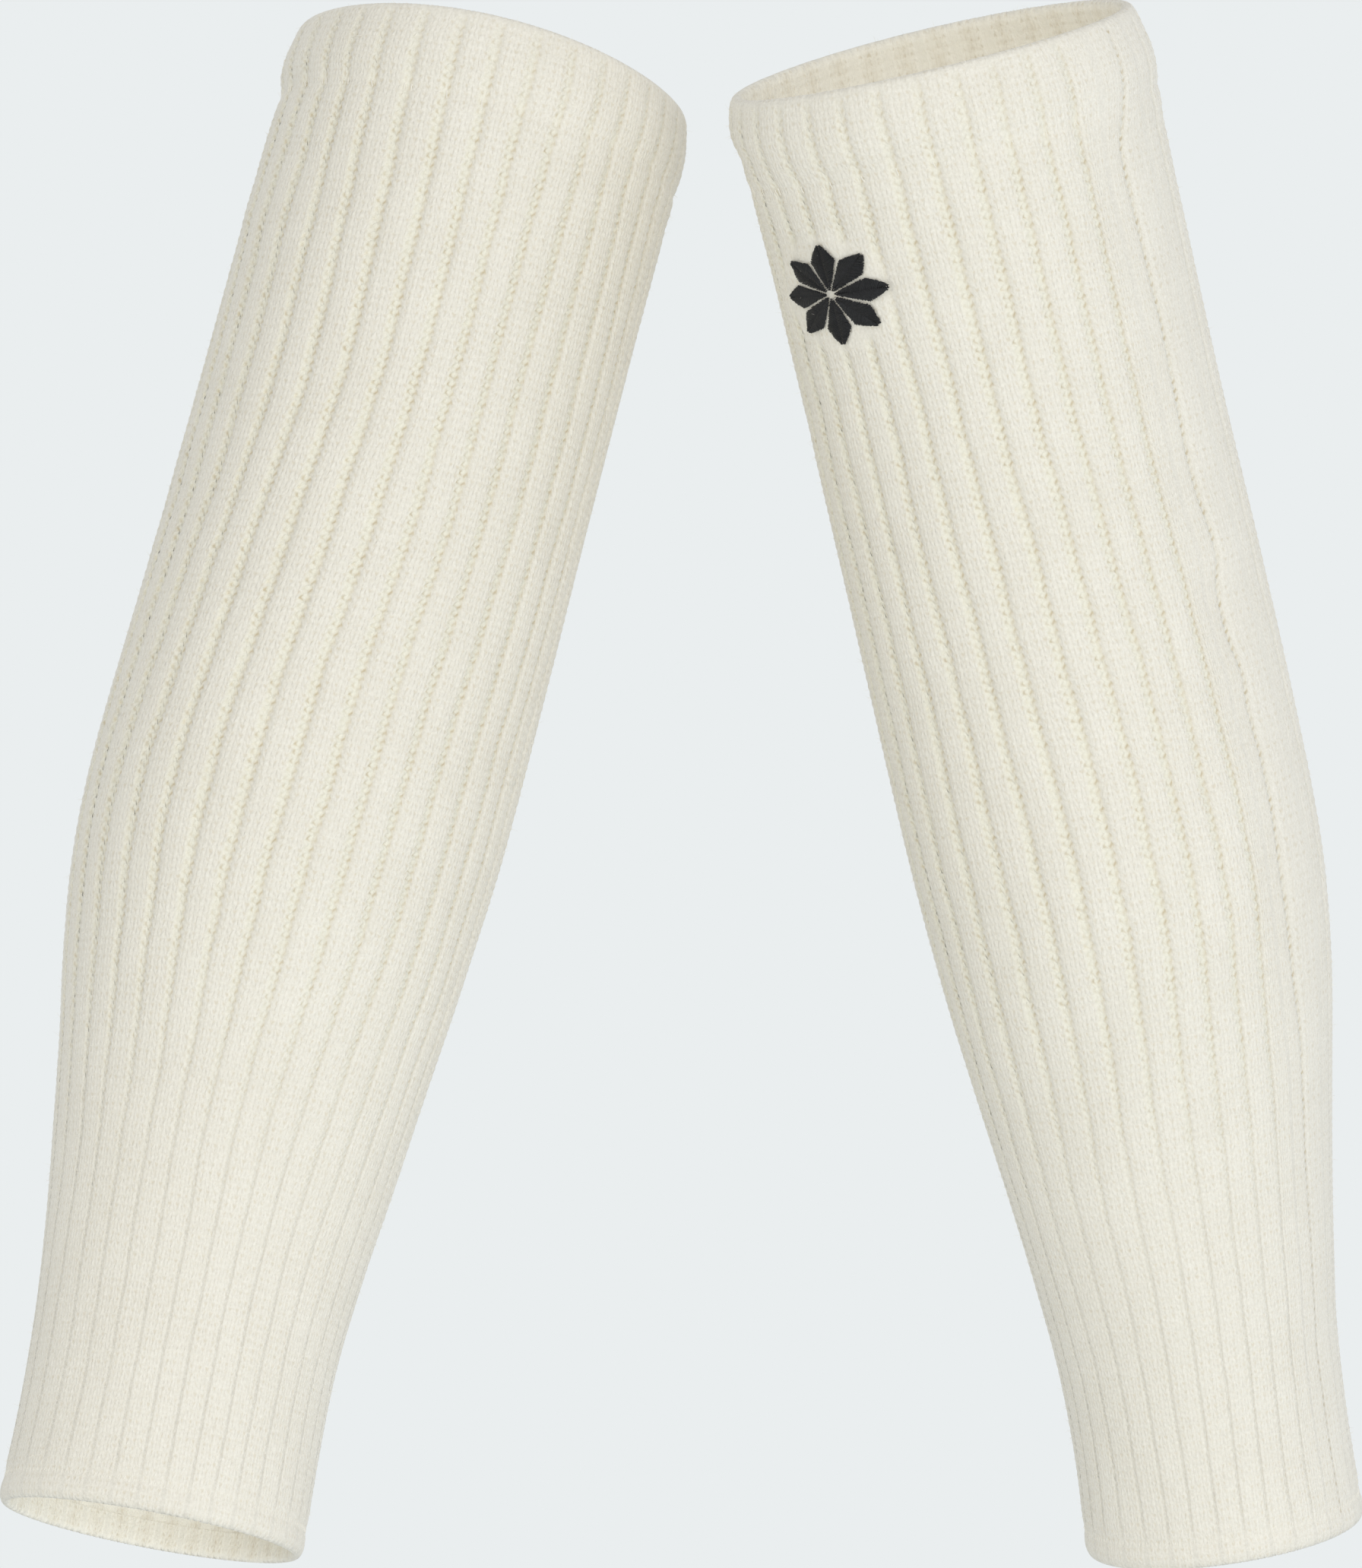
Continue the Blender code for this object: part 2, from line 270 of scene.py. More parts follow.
# The knitting's counts, and the rows and columns of points that carry it
WALES_A_RIB = 5
COURSES = {"leg": 156, "band": 21, "hem": 7}
FOLDS = {"leg": LEG_FOLD, "band": BAND_FOLD, "hem": HEM_FOLD}
ROWS_A_COURSE = 2
INNER_COURSES = 2
INNER_COLUMNS = 4
SHARP_EDGE = math.radians(72)

# Where the knitting is plain: by its ribs' places from the join, at the foot, under the star and
# over the folded edges, each from where that starts to where it is whole
PLAIN_BY_JOIN = {-1: 1.0, 0: 0.55, 1: 0.92, 2: 0.4}
PLAIN_FOOT = (396, 401)
UNDER_STAR = (17.0, 14.0)
TOP_EDGE = (3.0, 1.0)
FOOT_EDGE = (400, 403)
BAND_TURN = 2.0
HEM_TURN = 1.5
PLAIN_OVER_FOLD = 0.85
# How much of the ribs' height, the courses' ripple and the grooves' scallops plain knitting lacks
PLAIN_HEIGHT = 0.88
PLAIN_RIPPLE = 0.6
PLAIN_SCALLOP = 0.7
# How much smoother the stitches are over a fold and under the star, and within how many courses
CALM_FOLD = 0.75
CALM_STAR = 0.7
CALM_ENDS = 1.5
# How much of their relief the stitches keep where the ribs lie flat
FLAT_RELIEF = 0.55
# How much the stitches' ripple, scallops and relief vary from one to the next
VARIED_RIPPLE = 0.7
VARIED_SCALLOP = 0.6
VARIED_RELIEF = 0.6
# The join's ridge: its half-width in ribs, its height, and where it fades out
JOIN_WIDTH = 0.16
JOIN_HEIGHT = 0.20
JOIN_END = (340, 280)
# Where the ribs' last height at the foot fades out
FOOT_RIBS_END = (402, 390)

# How much less than in the solids the band's seam draws the cloth in: at the leg's front, how much
# more to its right, how far up and down that is felt, and between which depths in the wall
SEAM_EASE = 0.696
SEAM_EASE_RIGHT = 0.384
SEAM_REACH = 10.0
OUTER_SIDE = (-2.6, -1.4)

# The ribs' wandering: the waves' lengths down the leg, how much each turns from rib to rib, and
# their size in radians, more for the longer ones. Each has a shorter, smaller echo that turns the
# other way
SWAYS = ((150.0, 0.35), (62.0, 0.9), (27.0, 1.9))
SWAY_SIZE = 0.0042
LEAST_SWAY = 0.0008
ECHO_LENGTH, ECHO_DRIFT, ECHO_SIZE = 0.7, 2.3, 0.5
# The waves that make a rib stand higher or lower: their length, turning and size
STRENGTHS = ((83, 1.7, 0.10), (41, -2.9, 0.08))

# The embroidered star: where its middle is, its size, and how close and thick its threads are
STAR_ON = "right"
STAR_DOWN = 53.5
STAR_TURN = math.radians(-52.0)
STAR_PETALS = 8
STAR_INNER = 1.3
STAR_OUTER = 13.8
PETAL_HALF_WIDTH = 2.75
STAR_BROADER = 1.38
THREAD_GAP = 0.44
THREAD_RADIUS = 0.27
THREAD_RISE = 0.7
# The cloth's puckers round it
PUCKERS = 7
PUCKER_RING = 17.5
PUCKER_WIDTH = 2.2
PUCKER_DEPTH = 0.3
PUCKER_LEVEL = 0.6
# The leg's half-width that a flat chart of stitches is wrapped round
CHART_RADIUS = 55.0

# The linking stitches of each seam: how far down and out they are, and how they slant
Seam = namedtuple("Seam", "part down out slant")
SEAMS = (Seam("band", BAND_DEPTH, -1.25, 14), Seam("hem", LENGTH - HEM_DEPTH, -0.48, -14))
LINK_RADIUS = 0.20
LINK_RISE = 0.30

# The fuzz: hairs to a square metre, their thickness, their shortest and longest length, and how
# far they lean and turn
HAIRS = 50000.0
HAIR_RADIUS = 0.045
HAIR_LENGTHS = (0.9, 2.6)
HAIR_TURNS = (1.35, 1.35, 3.14)

# Each half of a leg, by its first rib and how many it has
PANELS = {"front": (-9, 18), "back": (9, 17)}

# The colours of the wool, the painted light on its sunk loops and on its inside, and the painted
# shade in the gaps between its stitches
WOOL_DARK = (0.743, 0.697, 0.593, 1.0)
WOOL_LIGHT = (0.876, 0.834, 0.734, 1.0)
WOOL_BEAD_LIGHT = (0.881, 0.847, 0.690, 1.0)
WOOL_INSIDE_LIGHT = (0.990, 0.950, 0.835, 1.0)
WOOL_GAP_SHADE = (0.60, 0.505, 0.34, 1.0)
LINKING_COLOURS = ((0.792, 0.748, 0.645, 1.0), (0.869, 0.829, 0.731, 1.0))
BLACK_COLOURS = ((0.003, 0.003, 0.003, 1.0), (0.016, 0.016, 0.017, 1.0))

# How fine the materials' noises are: the stitches' wandering, the wool's blotches, nap and fluff,
# and a thread's batches and plies
WANDERING, BLOTCHES, NAP, FLUFF = 260.0, 60.0, 420.0, 1300.0
BATCHES, PLIES = 170.0, 2400.0
# How far the stitches wander, in wales and in courses
WALE_WANDER, COURSE_WANDER = 0.21, 0.25

# Soft marks in the wool, by their middle, where they start to fade and where they end, in wales:
# the painted shade in each V, by the groove's holes and on the ribs' backs inside, the painted
# light on the beads, and the furrow. The V's mark is measured across one wale, and the others
# from the middle of the groove
Mark = namedtuple("Mark", "at fades ends")
STITCH_V_SHADE = Mark(0.5, 0.10, 0.32)
RIGHT_HOLE_SHADE = Mark(0.36, 0.1, 0.72)
LEFT_HOLE_SHADE = Mark(-0.85, 0.05, 0.55)
BEAD_LIGHT = Mark(-0.35, 0.5, 1.25)
FURROW = Mark(0.0, 0.55, 1.1)
RIB_BACK_SHADE = Mark(2.5, 0.2, 1.3)
PURL_EDGE = (0.85, 1.15)

# The camera stands level with the warmers' middle, four metres in front of them
CAMERA_AT = (-0.0713, -3.9725, -0.1824)
CAMERA_LENS = 346.9
CAMERA_SENSOR = 36.0

# The paper behind the warmers, and its floor well below them
PAPER_COLOUR = (0.823, 0.855, 0.863, 1.0)
FLOOR_DOWN = 1.35
FLOOR_HALF_SIZE = 6.0

# The light from all round, and each lamp's place, size, power and colour, and whether it casts
# shadows. The lamps aim at the warmers' middle
AMBIENT = 0.815
AMBIENT_COLOUR = (0.95, 0.975, 1.0, 1.0)
LAMPS_AIM = (-0.07, 0.03, -0.18)
LAMPS = (
    ("key", (1.1, -2.3, -0.9), 0.9, 9.6, (0.97, 1.0, 1.05), True),
    ("top", (0.2, -1.8, 1.8), 1.2, 1.6, (1.0, 0.98, 0.92), True),
    ("right", (2.2, -1.2, 0.3), 1.2, 4.2, (0.90, 1.0, 1.25), False),
    ("low left", (-0.55, -0.85, -0.8), 0.5, 0.42, (1.0, 0.98, 0.92), False),
    ("fill", (-0.07, -2.8, -0.1), 1.6, 11.6, (1.0, 0.98, 0.94), False),
)


def ramp(value, start, end):
    """0 up to the start, 1 from the end on, and evenly from one to the other between them."""
    return np.clip((value - start) / (end - start), 0.0, 1.0)


def near(distance, reach):
    """1 where the distance is 0, down to 0 at the reach."""
    return np.clip(1 - np.abs(distance) / reach, 0.0, 1.0)


def varied(rng, share, shape):
    """Numbers round 1 that differ by up to this share."""
    return 1 + share * (rng.random(shape) - 0.5)


def smooth(rows, column, along):
    """One column's values at each place along, on a smooth curve through the rows."""
    places = np.array([row[0] for row in rows], float)
    values = np.array([getattr(row, column) for row in rows], float)
    before = np.maximum(np.arange(len(rows)) - 1, 0)
    after = np.minimum(np.arange(len(rows)) + 1, len(rows) - 1)
    slopes = (values[after] - values[before]) / (places[after] - places[before])
    first = np.clip(np.searchsorted(places, along, side="right") - 1, 0, len(rows) - 2)
    step = places[first + 1] - places[first]
    t = np.clip((along - places[first]) / step, 0.0, 1.0)
    return (
        values[first] * (2 * t**3 - 3 * t**2 + 1)
        + slopes[first] * step * (t**3 - 2 * t**2 + t)
        + values[first + 1] * (3 * t**2 - 2 * t**3)
        + slopes[first + 1] * step * (t**3 - t**2)
    )


def centreline(warmer):
    """Rows of the leg's curved centreline, and of the ways to its right and front square to it."""
    lean, tilt = math.radians(warmer.lean), math.radians(warmer.tilt)
    along = np.array((
        math.sin(lean) * math.cos(tilt),
        math.sin(tilt),
        -math.cos(lean) * math.cos(tilt),
    ))
    side = np.array((math.cos(lean), 0.0, math.sin(lean)))
    front = np.cross(along, side)

    def centre(down):
        return (
            np.array(warmer.held, float)
            + (down - HELD_DOWN)[:, None] * along
            + smooth(warmer.sections, "side", down)[:, None] * side
            + smooth(warmer.sections, "front", down)[:, None] * front
        )

    beyond, step = 5.0, 0.5
    down = np.arange(-beyond, LENGTH + beyond + step, step)
    reach = 6.0
    ahead = centre(np.minimum(down + reach, LENGTH)) - centre(np.maximum(down - reach, 0.0))
    ahead /= np.linalg.norm(ahead, axis=1)[:, None]
    sides = side - ahead * (ahead @ side)[:, None]
    sides /= np.linalg.norm(sides, axis=1)[:, None]
    return down, np.hstack((centre(down), sides, np.cross(ahead, sides)))


def on_leg(warmer, line, down, turn, out):
    """Points on the leg, this far down and turned round it, and this far out from its outline."""
    places, rows = line
    at = np.stack([np.interp(down, places, rows[:, i]) for i in range(9)], axis=-1)
    middle, side, front = at[..., 0:3], at[..., 3:6], at[..., 6:9]
    half_width = smooth(warmer.sections, "half_width", down)
    half_depth = smooth(warmer.sections, "half_depth", down)
    twist = np.radians(smooth(warmer.sections, "turn", down))
    ovalness = (half_width**2 - half_depth**2) / (half_width**2 + half_depth**2) / 2
    way = turn + twist + math.radians(warmer.crowding) * (np.cos(turn) - 1)
    way = way - ovalness / 2 * np.sin(2 * way)
    droop = warmer.droop * np.clip(1 - down / BAND_DEPTH, 0.0, None) * np.sin(way) ** 2
    return (
        middle
        + side * ((half_width + out) * np.sin(way))[..., None]
        + front * ((half_depth + out) * np.cos(way))[..., None]
        + np.cross(side, front) * droop[..., None]
    )


def rib_columns():
    knit = [
        Column(
            step / KNIT_STEPS,
            1 - 2 * step / KNIT_STEPS,
            1 + step / 4,
            WALE_LEADS[step % 4],
            depth,
            WALE_RELIEFS[step % 4],
            EDGE_RIPPLES.get(step, WALE_RIPPLES[step % 4]),
            EDGE_SCALLOPS.get(step, 0.0),
        )
        for step, depth in enumerate(KNIT_DEPTHS)
    ]
    return [GROOVE_MIDDLE, GROOVE_RIGHT, *knit, GROOVE_LEFT]


COLUMNS = rib_columns()
COLUMN_COUNT = len(COLUMNS)


def rib_sway(warmer, rib, down):
    """How far the ribs wander from their even places, in radians."""
    rng = np.random.default_rng(warmer.seed)
    sway = np.zeros(np.broadcast(rib, down).shape)
    for length, drift in SWAYS:
        start, across = rng.random(2) * math.tau
        size = SWAY_SIZE * length / SWAYS[0][0] + LEAST_SWAY
        phase = math.tau * down / length
        sway += size * np.sin(phase + start + drift * rib)
        echo = phase / ECHO_LENGTH + across - ECHO_DRIFT * drift * rib
        sway += size * ECHO_SIZE * np.sin(echo)
    return sway


def rib_drift(warmer, place, down):
    """How far round the leg the ribs have drifted here, in ribs."""
    shifts = [smooth(warmer.drifts, field, down) for field in Drift._fields[1:]]
    behind = (shifts[0] + shifts[-1]) / 2
    stops = (-RIBS / 2, *DRIFT_PLACES, RIBS / 2)
    shifts = [behind, *shifts, behind]
    around = (place + RIBS / 2) % RIBS - RIBS / 2
    drift = shifts[0] + 0 * around
    for i in range(len(stops) - 1):
        share = np.clip((around - stops[i]) / (stops[i + 1] - stops[i]), 0.0, 1.0)
        drift = drift + (shifts[i + 1] - shifts[i]) * share**2 * (3 - 2 * share)
    return drift


def crease_rise(warmer, turn, down):
    """How far the cloth's creases lift it here."""
    rise = 0.0 * turn
    for crease in warmer.creases:
        around = (turn - math.radians(crease.turn) + math.pi) % math.tau - math.pi
        across, below = around * CHART_RADIUS, down - crease.down
        slant = math.radians(crease.slant)
        along = (across * math.cos(slant) + below * math.sin(slant)) / crease.length
        aside = (below * math.cos(slant) - across * math.sin(slant)) / crease.width
        rise += crease.depth * np.exp(-(along**2) - aside**2)
    return rise


def from_star(warmer, turn, down):
    """How far a place is from the star's middle, and which way it lies from there."""
    across = (turn - STAR_TURN) * CHART_RADIUS / STAR_BROADER
    up = STAR_DOWN - down
    distance = np.hypot(across, up) if warmer.name == STAR_ON else 1000.0 + 0.0 * turn
    return distance, np.arctan2(up, across)


def rib_strength(warmer, rib, down):
    """How much higher or lower a rib stands here than its neighbours."""
    rng = np.random.default_rng(warmer.seed + 50)
    strength = 1
    for (length, drift, size), start in zip(STRENGTHS, rng.random(2) * math.tau):
        strength = strength + size * np.sin(math.tau * down / length + start + drift * rib)
    return strength


def on_fold(fold, way):
    """How far down and out the cloth is this far along its fold, and which way its face looks."""
    reach = 0.4
    slope_down = smooth(fold, "down", way + reach) - smooth(fold, "down", way - reach)
    slope_out = smooth(fold, "out", way + reach) - smooth(fold, "out", way - reach)
    length = np.hypot(slope_down, slope_out)
    down, out = smooth(fold, "down", way), smooth(fold, "out", way)
    return down, out, -slope_out / length, slope_down / length


def turned_in(part, way):
    """1 where the band or the hem is turned in, and 0 on its outside."""
    if part == "band":
        top = min(BAND_FOLD, key=lambda row: row.down).along
        return ramp(way, top, top - BAND_TURN)
    if part == "hem":
        bottom = max(HEM_FOLD, key=lambda row: row.down).along
        return ramp(way, bottom, bottom + HEM_TURN)
    return 0.0 * way


def soft_forms(warmer, part, down, out, turn, around_leg, distance, bearing):
    """How far the band's seam, the creases and the star's puckers move the cloth out."""
    if part == "hem":
        return 0.0
    outer = ramp(out, *OUTER_SIDE)
    slack = near(down - BAND_DEPTH, SEAM_REACH) ** 2
    ease = (SEAM_EASE + SEAM_EASE_RIGHT * np.sin(turn)) * slack * (3 - 2 * slack) * outer
    creases = crease_rise(warmer, around_leg, down)
    if part == "band":
        return ease + creases * ramp(down, *CREASED_BAND) * outer
    puckered = np.exp(-(((distance - PUCKER_RING) / PUCKER_WIDTH) ** 2))
    puckered = puckered * (PUCKER_LEVEL + (1 - PUCKER_LEVEL) * np.sin(PUCKERS * bearing))
    creased = ramp(down, *CREASED_LEG) * ramp(down, *CREASED_FOOT)
    return ease + (creases - PUCKER_DEPTH * puckered) * creased


def knit_face(warmer, line, part, first_rib, ribs, closed):
    """The knitted face of some cloth: its points, its place in the knitting and its states."""
    rng = np.random.default_rng(warmer.seed + 100 * (first_rib + RIBS) + len(part))
    courses = COURSES[part]
    rows = courses * ROWS_A_COURSE + 1
    columns = ribs * COLUMN_COUNT + (0 if closed else 1)
    kind = np.arange(columns) % COLUMN_COUNT
    column = Column(*np.array(COLUMNS)[kind].T)
    rib = first_rib + np.arange(columns) // COLUMN_COUNT
    courses_down = np.arange(rows)[:, None] / ROWS_A_COURSE
    from_end = np.minimum(courses_down, courses - courses_down)
    along = courses_down + column.lead * ramp(from_end, 0, 1)

    way = FOLDS[part][-1].along * along / courses
    down, out, face_down, face_out = on_fold(FOLDS[part], way)
    within = turned_in(part, way)
    place = rib + column.closed + column.opening * smooth(RIBBINGS, "groove", down)
    join = (warmer.join - first_rib) % RIBS + first_rib
    from_join = place - join

    around_leg = RIB_PITCH * place
    distance, bearing = from_star(warmer, around_leg, down)
    under_star = ramp(distance, *UNDER_STAR)
    over_fold = np.maximum.reduce((within, ramp(down, *TOP_EDGE), ramp(down, *FOOT_EDGE)))
    nearest = np.round(place)
    plain = sum(share * (nearest == join + step) for step, share in PLAIN_BY_JOIN.items())
    plain = np.maximum.reduce((
        plain, ramp(down, *PLAIN_FOOT), PLAIN_OVER_FOLD * over_fold, under_star,
    ))
    joined = near(from_join, JOIN_WIDTH) * (1 - over_fold)

    # Each stitch is a row's rise and fall, beside grooves that it scallops to and fro
    beat = np.where(np.arange(rows) % 2 == 0, 1.0, -1.0)[:, None] * ramp(from_end, 0, 1)
    uneven = varied(rng, VARIED_RIPPLE, (rows, columns))
    loose = varied(rng, VARIED_SCALLOP, (rows, 1))
    least = warmer.foot_ribs * ramp(down, *FOOT_RIBS_END)
    strength = np.maximum(smooth(RIBBINGS, "height", down), least)
    scallop = column.scallop * beat * loose * (1 - PLAIN_SCALLOP * plain) * np.sqrt(strength)
    turn = RIB_PITCH * (place + scallop + rib_drift(warmer, place, down))
    shift = np.clip(np.minimum(1 + from_join / 2, 1 - from_join), 0.0, 1.0)
    turn = turn + shift * np.radians(smooth(warmer.strays, "turn", down))
    turn = turn + rib_sway(warmer, place, down)

    height = RIB_HEIGHT * strength * rib_strength(warmer, nearest, down)
    height = height * (1 - PLAIN_HEIGHT * plain) + JOIN_HEIGHT * joined * ramp(down, *JOIN_END)
    ripple = column.ripple * (1 - PLAIN_RIPPLE * plain) * beat * uneven
    relief = column.relief * varied(rng, VARIED_RELIEF, (rows, columns))
    calm = ramp(from_end, 0, CALM_ENDS)
    calm = calm * (1 - CALM_FOLD * np.maximum(over_fold, CALM_STAR * under_star))
    calm = calm * (FLAT_RELIEF + (1 - FLAT_RELIEF) * strength)
    rise = column.depth * height + (ripple + relief) * calm

    out = out + soft_forms(warmer, part, down, out, turn, around_leg, distance, bearing)
    points = on_leg(warmer, line, down + rise * face_down, turn, out + rise * face_out)
    wale = WALES_A_RIB * (rib - first_rib) + column.wale
    values = {
        "plain": plain,
        "joined": joined,
        "sunk": strength * (1 - plain),
        "inside": within + 0 * down,
    }
    return points, np.broadcast_to(wale, along.shape), along, values


def leg_inside(warmer, line, first_rib, rows, columns):
    """The inside of the leg's cloth at some of its rows and columns, with its ribs' backs."""
    along = rows[:, None] / ROWS_A_COURSE + 0.0 * columns
    way = LEG_FOLD[-1].along * along / COURSES["leg"]
    down, out = smooth(LEG_FOLD, "down", way), smooth(LEG_FOLD, "out", way)
    place = first_rib + columns / COLUMN_COUNT + 0.0 * down
    height = RIB_HEIGHT * smooth(RIBBINGS, "height", down)
    back = 0.5 + 0.5 * np.cos(math.tau * place)
    turn = RIB_PITCH * (place + rib_drift(warmer, place, down)) + rib_sway(warmer, place, down)
    points = on_leg(warmer, line, down, turn, out - CLOTH - height * back)
    return points, WALES_A_RIB * (place - first_rib), along


def grid(values, turned=False):
    """The corners of a grid's cells, as its rows run down and its columns to the right."""
    a, b, c, d = values[:-1, :-1], values[1:, :-1], values[1:, 1:], values[:-1, 1:]
    corners = (d, c, b, a) if turned else (a, b, c, d)
    return np.stack(corners, axis=2).reshape(-1, 4, *values.shape[2:])


def edge_strip(outer, inner, stops, turned):
    """The cloth's cut edge: a face from each step of its inside to its face's points over it."""
    faces = []
    for i in range(len(stops) - 1):
        loop = [inner[i], *outer[stops[i]:stops[i + 1] + 1], inner[i + 1]]
        faces.append([int(v) for v in (loop[::-1] if turned else loop)])
    return faces


def in_scene(name, data):
    """A new object in the scene, with its origin at the part's own."""
    made = bpy.data.objects.new(name, data)
    bpy.context.scene.collection.objects.link(made)
    return made


def add_numbers(mesh, title, numbers):
    """A number on each of the mesh's points."""
    attribute = mesh.attributes.new(title, "FLOAT", "POINT")
    attribute.data.foreach_set("value", numbers.astype(np.float32).ravel())


def make_piece(name, points, faces, uv, values, material):
    """A smooth mesh in metres, with its place in the knitting as its UV map."""
    mesh = bpy.data.meshes.new(name)
    mesh.from_pydata((points * MM).tolist(), [], faces)
    mesh.uv_layers.new(name="knitting").data.foreach_set("uv", uv.astype(np.float32).ravel())
    for title, numbers in values.items():
        add_numbers(mesh, title, numbers)
    mesh.materials.append(material)
    mesh.shade_smooth()
    mesh.set_sharp_from_angle(angle=SHARP_EDGE)
    return in_scene(name, mesh)


def leg_panel(warmer, line, name, first_rib, ribs, material):
    """The leg's cloth between two of its grooves, as one closed wall."""
    face, wale, along, values = knit_face(warmer, line, "leg", first_rib, ribs, False)
    rows, columns = along.shape
    inner_rows = np.arange(0, rows, ROWS_A_COURSE * INNER_COURSES)
    inner_columns = np.arange(0, columns, COLUMN_COUNT // INNER_COLUMNS)
    inside, inner_wale, inner_along = leg_inside(
        warmer, line, first_rib, inner_rows, inner_columns
    )
    outer_id = np.arange(rows * columns).reshape(rows, columns)
    inner_id = rows * columns + np.arange(inner_along.size).reshape(inner_along.shape)
    faces = grid(outer_id).tolist() + grid(inner_id, True).tolist()
    faces += edge_strip(outer_id[0], inner_id[0], inner_columns, False)
    faces += edge_strip(outer_id[-1], inner_id[-1], inner_columns, True)
    faces += edge_strip(outer_id[:, 0], inner_id[:, 0], inner_rows, True)
    faces += edge_strip(outer_id[:, -1], inner_id[:, -1], inner_rows, False)
    point_uv = np.vstack((
        np.stack((wale, along), axis=-1).reshape(-1, 2),
        np.stack((inner_wale, inner_along), axis=-1).reshape(-1, 2),
    ))
    loops = np.array([v for corners in faces for v in corners])
    within = {"plain": 1.0, "joined": 0.0, "sunk": 0.0, "inside": 1.0}
    values = {
        title: np.append(numbers.ravel(), np.full(inner_along.size, within[title]))
        for title, numbers in values.items()
    }
    points = np.vstack((face.reshape(-1, 3), inside.reshape(-1, 3)))
    return make_piece(name, points, faces, point_uv[loops], values, material)


def turned_edge(warmer, line, name, part, material):
    """The band or the hem: cloth knitted on both of its sides, closed into a flat roll."""
    face, wale, along, values = knit_face(warmer, line, part, 0, RIBS, True)
    rows, columns = along.shape
    ids = np.arange(rows * columns).reshape(rows, columns)
    ids = np.hstack((ids, ids[:, :1]))
    wales = np.hstack((wale, np.full((rows, 1), WALES_A_RIB * RIBS)))
    alongs = np.hstack((along, along[:, :1]))
    uv = np.stack((wales, alongs), axis=-1)
    closing = np.array((-1, 0))
    faces = grid(ids).tolist() + grid(ids[closing]).tolist()
    uv = np.vstack((grid(uv).reshape(-1, 2), grid(uv[closing]).reshape(-1, 2)))
    return make_piece(name, face.reshape(-1, 3), faces, uv, values, material)


def feed(tree, node, inputs):
    """Set a node's inputs, or link other nodes' values into them."""
    for key, value in inputs.items():
        socket = node.inputs[key.replace("_", " ") if isinstance(key, str) else key]
        if isinstance(value, bpy.types.NodeSocket):
            tree.links.new(value, socket)
        else:
            socket.default_value = value


def new_node(tree, kind, settings=None, **inputs):
    """A new node with these settings, and its inputs fed."""
    made = tree.nodes.new(kind)
    for key, value in (settings or {}).items():
        setattr(made, key, value)
    feed(tree, made, inputs)
    return made


def new_tree(title, *sizes):
    """A Geometry Nodes tree for a thread of these sizes, its nodes' maker and its inputs."""
    tree = bpy.data.node_groups.new(title, "GeometryNodeTree")

    def socket(name, kind, way="INPUT"):
        kind = "NodeSocket" + kind
        return tree.interface.new_socket(name, in_out=way, socket_type=kind).identifier

    socket("Geometry", "Geometry")
    socket("Geometry", "Geometry", "OUTPUT")
    sockets = [*(socket(size, "Float") for size in sizes), socket("Thread", "Material")]
    return tree, partial(new_node, tree), sockets


def finish_tree(node, given, placed):
    """End a tree with its instances made real and in the thread that it is given."""
    real = node("GeometryNodeRealizeInstances", Geometry=placed.outputs[0])
    dressed = node("GeometryNodeSetMaterial", Geometry=real.outputs[0],
                   Material=given.outputs["Thread"])
    node("NodeGroupOutput", Geometry=dressed.outputs[0])


def stitch_tree():
    """Stitches: one bent thread on each point, as long and turned as the point says."""
    tree, node, sockets = new_tree("stitches", "Thread radius", "Thread rise")
    given = node("NodeGroupInput")
    rise = node("ShaderNodeCombineXYZ", Z=given.outputs["Thread rise"])
    way = node("GeometryNodeCurveQuadraticBezier", Resolution=4, Start=(-0.5, 0.0, 0.0),
               Middle=rise.outputs[0], End=(0.5, 0.0, 0.0))
    ring = node("GeometryNodeCurvePrimitiveCircle", Resolution=5,
                Radius=given.outputs["Thread radius"])
    tube = node("GeometryNodeCurveToMesh", Curve=way.outputs[0], Profile_Curve=ring.outputs[0],
                Fill_Caps=True)
    length, heading = (
        node("GeometryNodeInputNamedAttribute", Name=name).outputs["Attribute"]
        for name in ("length", "heading")
    )
    size = node("ShaderNodeCombineXYZ", X=length, Y=1.0, Z=1.0)
    turned = node("ShaderNodeCombineXYZ", Z=heading)
    turned = node("FunctionNodeEulerToRotation", Euler=turned.outputs[0])
    points = node("GeometryNodeMeshToPoints", Mesh=given.outputs["Geometry"])
    placed = node("GeometryNodeInstanceOnPoints", Points=points.outputs[0],
                  Instance=tube.outputs[0], Scale=size.outputs[0], Rotation=turned.outputs[0])
    finish_tree(node, given, placed)
    return tree, sockets


